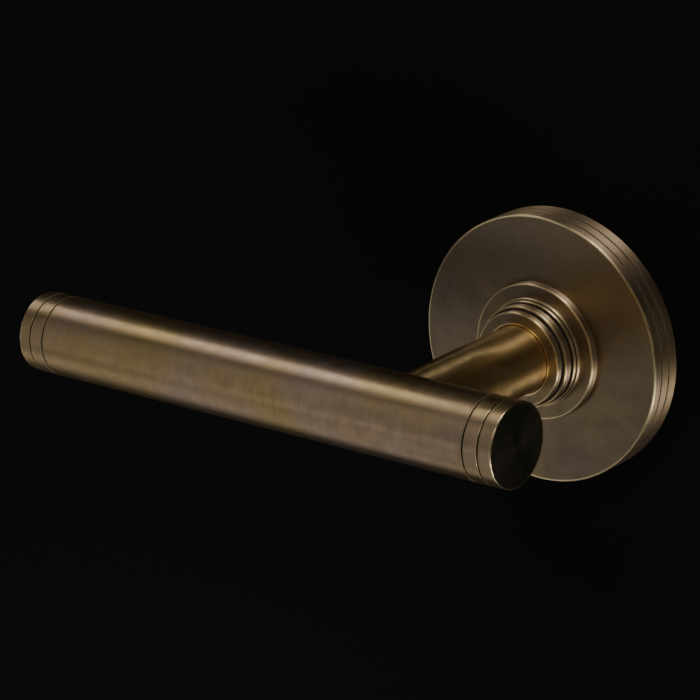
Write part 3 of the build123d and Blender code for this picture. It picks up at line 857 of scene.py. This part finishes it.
def make_neck():
    """Neck from the stud's hole, over the saddle, down the skin and journal and up into the square socket."""
    size = sizes()
    reach = np.arange(-NECK_HOLE_STEPS, NECK_HOLE_STEPS + 1) * NECK_HOLE_STEP / NECK_RADIUS
    angle = columns(extra=1.5 * np.pi + reach)
    round_row = np.ones(len(angle))
    sine, cosine = np.abs(np.sin(angle)), np.abs(np.cos(angle))
    rows = []

    def add(radius, out, wear=0.0, grime=0.0):
        rows.append((radius * round_row, out * round_row, wear, grime))

    # stud hole and saddle
    hole = STUD_RADIUS + CLOSE_GAP
    add(0.0, STUD_REAR)
    add(hole, STUD_REAR)
    rim = NECK_RADIUS - size.fine_edge_round
    for share in np.linspace(0, 1, 9):
        radius = hole + share * (rim - hole)
        # towards the saddle's rim the neck turns bright: partly real wear, partly a painted edge highlight
        worn = math.exp(-((NECK_RADIUS - radius) / size.wear_and_highlight_reach) ** 2)
        add(radius, saddle_out(radius, angle), wear=worn)
    # broken edge of the saddle, fully worn: bright brass that is also a painted highlight
    for share in np.linspace(0, 0.5 * math.pi, 5)[1:]:
        radius = rim + size.fine_edge_round * math.sin(share)
        drop = size.fine_edge_round * (1 - math.cos(share))
        add(radius, saddle_out(rim, angle) - drop, wear=1.0)
    # skin down to the shoulder, with close rows where the grub screw goes in
    top = saddle_out(rim, angle) - size.fine_edge_round
    for depth in NECK_STEPS:
        add(NECK_RADIUS, top - depth, wear=math.exp(-(depth / size.wear_and_highlight_reach) ** 2))
    hole_rows = NECK_GRUB_OUT + np.arange(NECK_HOLE_STEPS, -NECK_HOLE_STEPS - 1, -1) * NECK_HOLE_STEP
    low_rows = np.arange(hole_rows[-1] - 1 * MM, DRIVE_FRONT + 0.8 * MM, -LONGEST_STEP)
    for out in np.concatenate([hole_rows, low_rows]):
        add(NECK_RADIUS, out)
    add(NECK_RADIUS, DRIVE_FRONT + NECK_CHAMFER)
    add(NECK_RADIUS - NECK_CHAMFER, DRIVE_FRONT)
    # journal with two flats, and the retaining ring's groove
    journal = np.minimum(JOURNAL_RADIUS, JOURNAL_FLAT / np.maximum(sine, 1e-6))
    groove = np.full(len(angle), CLIP_GROOVE_RADIUS)
    chamfer = 1.5 * NECK_CHAMFER
    for radius, out in ((journal, DRIVE_FRONT), (journal, CLIP_FRONT), (groove, CLIP_FRONT),
                        (groove, CLIP_REAR), (journal, CLIP_REAR), (journal, NECK_REAR + chamfer),
                        (journal - chamfer, NECK_REAR)):
        rows.append((radius, out * round_row, 0.0, 0.0))
    # square socket: half the side over the larger of |cos a| and |sin a|
    socket = (SPINDLE_SIDE / 2 + FIT_GAP) / np.maximum(sine, cosine)
    socket_top = SPINDLE_TOP + SOCKET_END_GAP
    for radius, out in ((socket, NECK_REAR), (socket, socket_top)):
        rows.append((radius, out * round_row, 0.0, 0.5))
    add(0.0, socket_top, grime=0.5)

    radius = np.stack([row[0] for row in rows])
    out = np.stack([row[1] for row in rows])
    skin = np.isclose(radius, NECK_RADIUS)
    floor = SPINDLE_SIDE / 2 + 2 * FIT_GAP
    sunk = drilled(radius, out, angle, NECK_GRUB_OUT, NECK_GRUB_RADIUS + FIT_GAP, floor)
    radius = np.where(skin, sunk, radius)
    points = swept(radius, out, angle, SPINDLE_FRAME)
    travel = np.concatenate([[0.0], np.cumsum(np.linalg.norm(np.diff(points[:, 0], axis=0), axis=1))])
    wear = np.array([row[2] for row in rows])
    grime = np.array([row[3] for row in rows])
    return grid_object("neck_turned", points, angle, travel, wear, grime, closed=False)


class LEVER_OT_neck(bpy.types.Operator):
    """Make the neck between the rose and the grip"""

    bl_idname = "lever.neck"
    bl_label = "Neck"

    def execute(self, context):
        colour = finish()
        # the neck takes the lit copy of the brass, a painted reflection
        brass = aged_brass("Neck", colour.lit_neck_colour, colour.olive_colour)
        finish_piece(make_neck(), (brass,), "lever", "neck")
        return {"FINISHED"}


# ---------------- grip

def make_grip_tube():
    """Tube of the grip with a groove near each end."""
    size = sizes()
    fine, corner = size.fine_edge_round, size.corner_round
    half = size.grip_groove_width / 2
    floor = GRIP_RADIUS - size.grip_groove_depth
    corners = [(GRIP_BORE, TUBE_NEAR_END, 0), (GRIP_RADIUS, TUBE_NEAR_END, fine)]
    for middle in (GRIP_NEAR_END - size.second_groove, GRIP_FAR_END + size.second_groove):
        corners += [(GRIP_RADIUS, middle + half, fine), (floor, middle + half, corner),
                    (floor, middle - half, corner), (GRIP_RADIUS, middle - half, fine)]
    corners += [(GRIP_RADIUS, TUBE_FAR_END, fine), (GRIP_BORE, TUBE_FAR_END, 0)]
    return turned_object("grip_tube_turned", rounded_profile(corners, closed=True), GRIP_FRAME)


def make_grip_cap(name, end, inward, tube_end):
    """End cap: flat face with a broken edge, head, the step that leaves the groove, and the spigot."""
    size = sizes()
    fine, corner = size.fine_edge_round, size.corner_round
    head = tube_end - inward * size.grip_groove_width
    spigot = GRIP_BORE - FIT_GAP
    tail = end + inward * CAP_LENGTH
    corners = [
        (0, end, 0), (GRIP_RADIUS, end, size.edge_round * EDGE_SHARE), (GRIP_RADIUS, head, fine),
        (GRIP_RADIUS - size.grip_groove_depth, head, corner),
        (GRIP_RADIUS - size.grip_groove_depth, tube_end, 0), (spigot, tube_end, 0),
        (spigot, tail, fine), (0, tail, 0),
    ]
    return turned_object(name, rounded_profile(corners), GRIP_FRAME)


class LEVER_OT_grip(bpy.types.Operator):
    """Make the grip's tube and its two end caps"""

    bl_idname = "lever.grip"
    bl_label = "Grip"

    def execute(self, context):
        colour = finish()
        side = aged_brass("Grip", colour.grip_colour, colour.olive_colour)
        # the flat faces and groove walls take the darker copy of the brass, a painted shade
        face = aged_brass("Grip End", colour.shaded_end_colour, colour.rose_colour)
        finish_piece(make_grip_tube(), (face, side), "lever", "grip_tube")
        near = make_grip_cap("grip_cap_near_turned", GRIP_NEAR_END, -1, TUBE_NEAR_END)
        far = make_grip_cap("grip_cap_far_turned", GRIP_FAR_END, 1, TUBE_FAR_END)
        finish_piece(near, (face, side), "lever", "grip_cap_near")
        finish_piece(far, (face, side), "lever", "grip_cap_far")
        return {"FINISHED"}


# ---------------- fixings behind the rose

# slot, then name, colour, dark tone, roughness, grain size, grain depth, metallic
FIXING_METALS = (
    ("cast_zinc", "Cast Zinc", (0.36, 0.37, 0.38), (0.20, 0.20, 0.21), 0.42, 260.0, 0.02 * MM, 1.0),
    ("zinc_plated_steel", "Zinc Plated Steel", (0.62, 0.61, 0.56), (0.42, 0.40, 0.34),
     0.26, 180.0, 0.004 * MM, 1.0),
    ("spring_steel", "Oiled Spring Wire", (0.20, 0.20, 0.21), (0.08, 0.07, 0.07),
     0.28, 300.0, 0.003 * MM, 1.0),
    ("plain_brass", "Machined Brass", (0.78, 0.58, 0.27), (0.58, 0.40, 0.17), 0.24, 200.0, 0.004 * MM, 1.0),
    ("acetal", "Acetal", (0.80, 0.79, 0.75), (0.70, 0.69, 0.64), 0.35, 240.0, 0.004 * MM, 0.0),
)


class LEVER_OT_fixings(bpy.types.Operator):
    """Give the plate, bushes, spring, spindle and screws their finishes"""

    bl_idname = "lever.fixings"
    bl_label = "Fixings"

    def execute(self, context):
        by_slot = {slot: plain_metal(*values) for slot, *values in FIXING_METALS}
        for part in frame["record"]["subparts"]:
            material = by_slot.get(part["material_slot"])
            if material is None:
                continue
            node = frame["nodes"][part["node"]]
            node.data.materials.clear()
            node.data.materials.append(material)
        return {"FINISHED"}


# ---------------- floor, backdrop, camera and lights

def plane_object(name, corners, faces=((0, 1, 2, 3),)):
    """Flat stage piece, four-sided unless it is given other faces."""
    mesh = bpy.data.meshes.new(name)
    mesh.from_pydata(corners, [], faces)
    piece = bpy.data.objects.new(name, mesh)
    bpy.context.collection.objects.link(piece)
    return piece


def door_object(half, top, drop, back, hole):
    """Backdrop that stands for the door: an upright rectangle with a round hole that the rose covers.

    Each spoke joins a point of the hole's edge to the same direction's point of a far larger circle,
    pulled in to the rectangle's sides.
    """
    spokes = 96
    angle = np.linspace(0.0, 2 * math.pi, spokes, endpoint=False)
    inner = np.stack([hole * np.cos(angle), np.full(spokes, back), hole * np.sin(angle)], axis=-1)
    outer = np.stack([np.clip(3 * half * np.cos(angle), -half, half), np.full(spokes, back),
                      np.clip(3 * half * np.sin(angle), drop, top)], axis=-1)
    faces = [(i, spokes + i, spokes + (i + 1) % spokes, (i + 1) % spokes) for i in range(spokes)]
    return plane_object("door_backdrop", np.concatenate([inner, outer]).tolist(), faces)


def stage_material(name, colour, roughness, one_sided=False):
    """Plain matt stage colour with the faintest unevenness; a one-sided piece isn't seen from behind."""
    material, tree, shader = new_material(name)
    clouds = place_group(tree, (0, 1), "Patina Clouds", clouds_group, Size=3.0, Softness=0.4)
    tone = mix_colour(tree, (2, 1), clouds.outputs["Clouds"], four(colour), four(colour, 0.96))
    tree.links.new(tone, shader.inputs["Base Color"])
    shader.inputs["Roughness"].default_value = roughness
    shader.inputs["Specular IOR Level"].default_value = STAGE_SHINE
    if one_sided:
        side = put(tree, "ShaderNodeNewGeometry", (5, 2))
        clear = put(tree, "ShaderNodeBsdfTransparent", (6.5, 2))
        mixed = put(tree, "ShaderNodeMixShader", (7.2, 1), {0: side.outputs["Backfacing"],
                                                           1: shader.outputs[0], 2: clear.outputs[0]})
        output = next(node for node in tree.nodes if node.type == "OUTPUT_MATERIAL")
        tree.links.new(mixed.outputs[0], output.inputs["Surface"])
    return material


# name, direction from the handle, distance, width, height, watts
LAMPS = (
    ("left_panel", (-0.60, -0.80, 0.00), 0.8, 0.20, 1.60, 0.69),
    ("left_low", (-0.60, -0.33, -0.73), 0.8, 0.20, 0.55, 0.26),
    ("top_left", (-0.60, 0.06, 0.80), 0.8, 0.20, 0.16, 0.75),
    ("top_left_front", (-0.60, -0.17, 0.78), 0.8, 0.20, 0.20, 0.26),
    ("overhead", (0.28, -0.06, 0.96), 0.8, 0.20, 0.14, 1.80),
    ("overhead_front", (0.05, -0.30, 1.00), 0.8, 0.20, 0.20, 0.37),
    ("upper_front", (0.17, -0.73, 0.66), 0.8, 0.20, 0.20, 0.55),
    ("lower_right", (0.48, -0.73, -0.49), 0.8, 0.20, 0.20, 0.48),
    ("right_low", (0.82, -0.10, -0.57), 0.8, 0.20, 0.20, 1.60),
    ("right", (1.00, -0.20, 0.20), 0.8, 0.20, 0.30, 0.10),
    ("key", (-0.46, -0.85, -0.21), 0.9, 0.12, 0.12, 0.045),
    ("back_left", (-0.60, 0.90, 0.50), 0.8, 0.40, 0.40, 3.5),
    ("back_right", (0.80, 0.80, 0.20), 0.8, 0.40, 0.40, 2.5),
)

WASH_PANEL = (4.0, 2.9, 30.0)      # width, height and watts of the two lights that face the floor
WASH_ALONG, WASH_AWAY, WASH_HEIGHT = -0.1, 1.5, 0.28


def area_light(name, direction, distance, width, height, power):
    """Rectangular soft light at a distance in a direction from the middle of the handle, and facing it."""
    middle = (cad_box[0] + cad_box[1]) / 2
    data = bpy.data.lights.new(name, "AREA")
    data.shape = "RECTANGLE"
    data.size = width
    data.size_y = height
    data.energy = power
    lamp = bpy.data.objects.new(name, data)
    away = Vector(direction).normalized()
    lamp.location = middle + away * distance
    lamp.rotation_euler = away.to_track_quat("Z", "Y").to_euler()
    bpy.context.collection.objects.link(lamp)
    return lamp


def make_camera():
    """Camera at the chosen angles; its place is back * distance, moved along its own right and up."""
    view = studio()
    turn, tilt, roll = view.azimuth, view.elevation, view.roll
    back = Vector((math.sin(turn) * math.cos(tilt), -math.cos(turn) * math.cos(tilt), math.sin(tilt)))
    right = Vector((math.cos(turn), math.sin(turn), 0.0))
    up = back.cross(right)
    rolled_right = math.cos(roll) * right + math.sin(roll) * up
    rolled_up = math.cos(roll) * up - math.sin(roll) * right
    data = bpy.data.cameras.new("camera")
    data.lens = view.lens
    data.sensor_width = 36.0
    data.clip_start = 0.01
    camera = bpy.data.objects.new("camera", data)
    place = back * view.distance - rolled_right * view.aim_left - rolled_up * view.aim_down
    axes = Matrix((rolled_right, rolled_up, back)).transposed()
    camera.matrix_world = Matrix.Translation(place) @ axes.to_4x4()
    bpy.context.collection.objects.link(camera)
    bpy.context.scene.camera = camera
    return camera


class LEVER_OT_stage(bpy.types.Operator):
    """Make the floor, the backdrop that stands for the door, the camera and the lights"""

    bl_idname = "lever.stage"
    bl_label = "Stage"

    def execute(self, context):
        view = studio()
        drop, reach = -view.floor_drop, 3.0
        floor = plane_object("floor", [(-reach, -reach, drop), (reach, -reach, drop),
                                       (reach, reach, drop), (-reach, reach, drop)])
        floor.data.materials.append(stage_material("Pale Floor", view.floor_colour, 0.6))
        floor.visible_glossy = floor.visible_diffuse = False
        half, top, back = 1.2, 0.9, 0.2 * MM
        door = door_object(half, top, drop, back, ROSE_RADIUS - 1.5 * MM)
        door.data.materials.append(stage_material("Door Backdrop", view.door_colour, 0.6, one_sided=True))
        world = bpy.data.worlds.new("Soft Room")
        world.use_nodes = True
        background = world.node_tree.nodes["Background"]
        background.inputs["Color"].default_value = four(view.world_colour)
        background.inputs["Strength"].default_value = 1.0
        seen = put(world.node_tree, "ShaderNodeLightPath", (-4, 0))
        pale = mix_colour(world.node_tree, (-2, 0), seen.outputs["Is Camera Ray"], four(view.world_colour),
                          four(view.backdrop_colour))
        world.node_tree.links.new(pale, background.inputs["Color"])
        context.scene.world = world
        make_camera()
        for name, direction, distance, width, height, power in LAMPS:
            area_light(name, direction, distance, width, height, power)
        for name, side in (("floor_wash_front", -1), ("floor_wash_back", 1)):
            wash = area_light(name, (0.0, 0.0, 1.0), 0.0, *WASH_PANEL)
            wash.location = (WASH_ALONG, side * WASH_AWAY, drop + WASH_HEIGHT)
            wash.visible_camera = False
        return {"FINISHED"}


# ---------------- panel and registration

class LEVER_PT_panel(bpy.types.Panel):
    """Buttons and settings of the lever"""

    bl_idname = "LEVER_PT_panel"
    bl_label = "Lever on a Stepped Rose"
    bl_space_type = "VIEW_3D"
    bl_region_type = "UI"
    bl_category = "Lever"

    def draw(self, context):
        layout = self.layout
        for operator in OPERATORS:
            layout.operator(operator.bl_idname)
        for group in (context.scene.lever_sizes, context.scene.lever_finish, context.scene.lever_studio):
            box = layout.box()
            for key in group.bl_rna.properties.keys():
                if key not in {"rna_type", "name"}:
                    box.prop(group, key)


OPERATORS = (LEVER_OT_rose, LEVER_OT_neck, LEVER_OT_grip, LEVER_OT_fixings, LEVER_OT_stage)
CLASSES = (LeverSizes, BrassFinish, StudioSettings, *OPERATORS, LEVER_PT_panel)


def register():
    """Register the classes and hang the settings on the scene."""
    for item in CLASSES:
        bpy.utils.register_class(item)
    bpy.types.Scene.lever_sizes = bpy.props.PointerProperty(type=LeverSizes)
    bpy.types.Scene.lever_finish = bpy.props.PointerProperty(type=BrassFinish)
    bpy.types.Scene.lever_studio = bpy.props.PointerProperty(type=StudioSettings)


def unregister():
    """Take the settings and the classes away again."""
    del bpy.types.Scene.lever_studio
    del bpy.types.Scene.lever_finish
    del bpy.types.Scene.lever_sizes
    for item in reversed(CLASSES):
        bpy.utils.unregister_class(item)


def main():
    """Make every piece and the stage."""
    register()
    bpy.ops.lever.rose()
    bpy.ops.lever.neck()
    bpy.ops.lever.grip()
    bpy.ops.lever.fixings()
    bpy.ops.lever.stage()


if __name__ == "__main__":
    main()
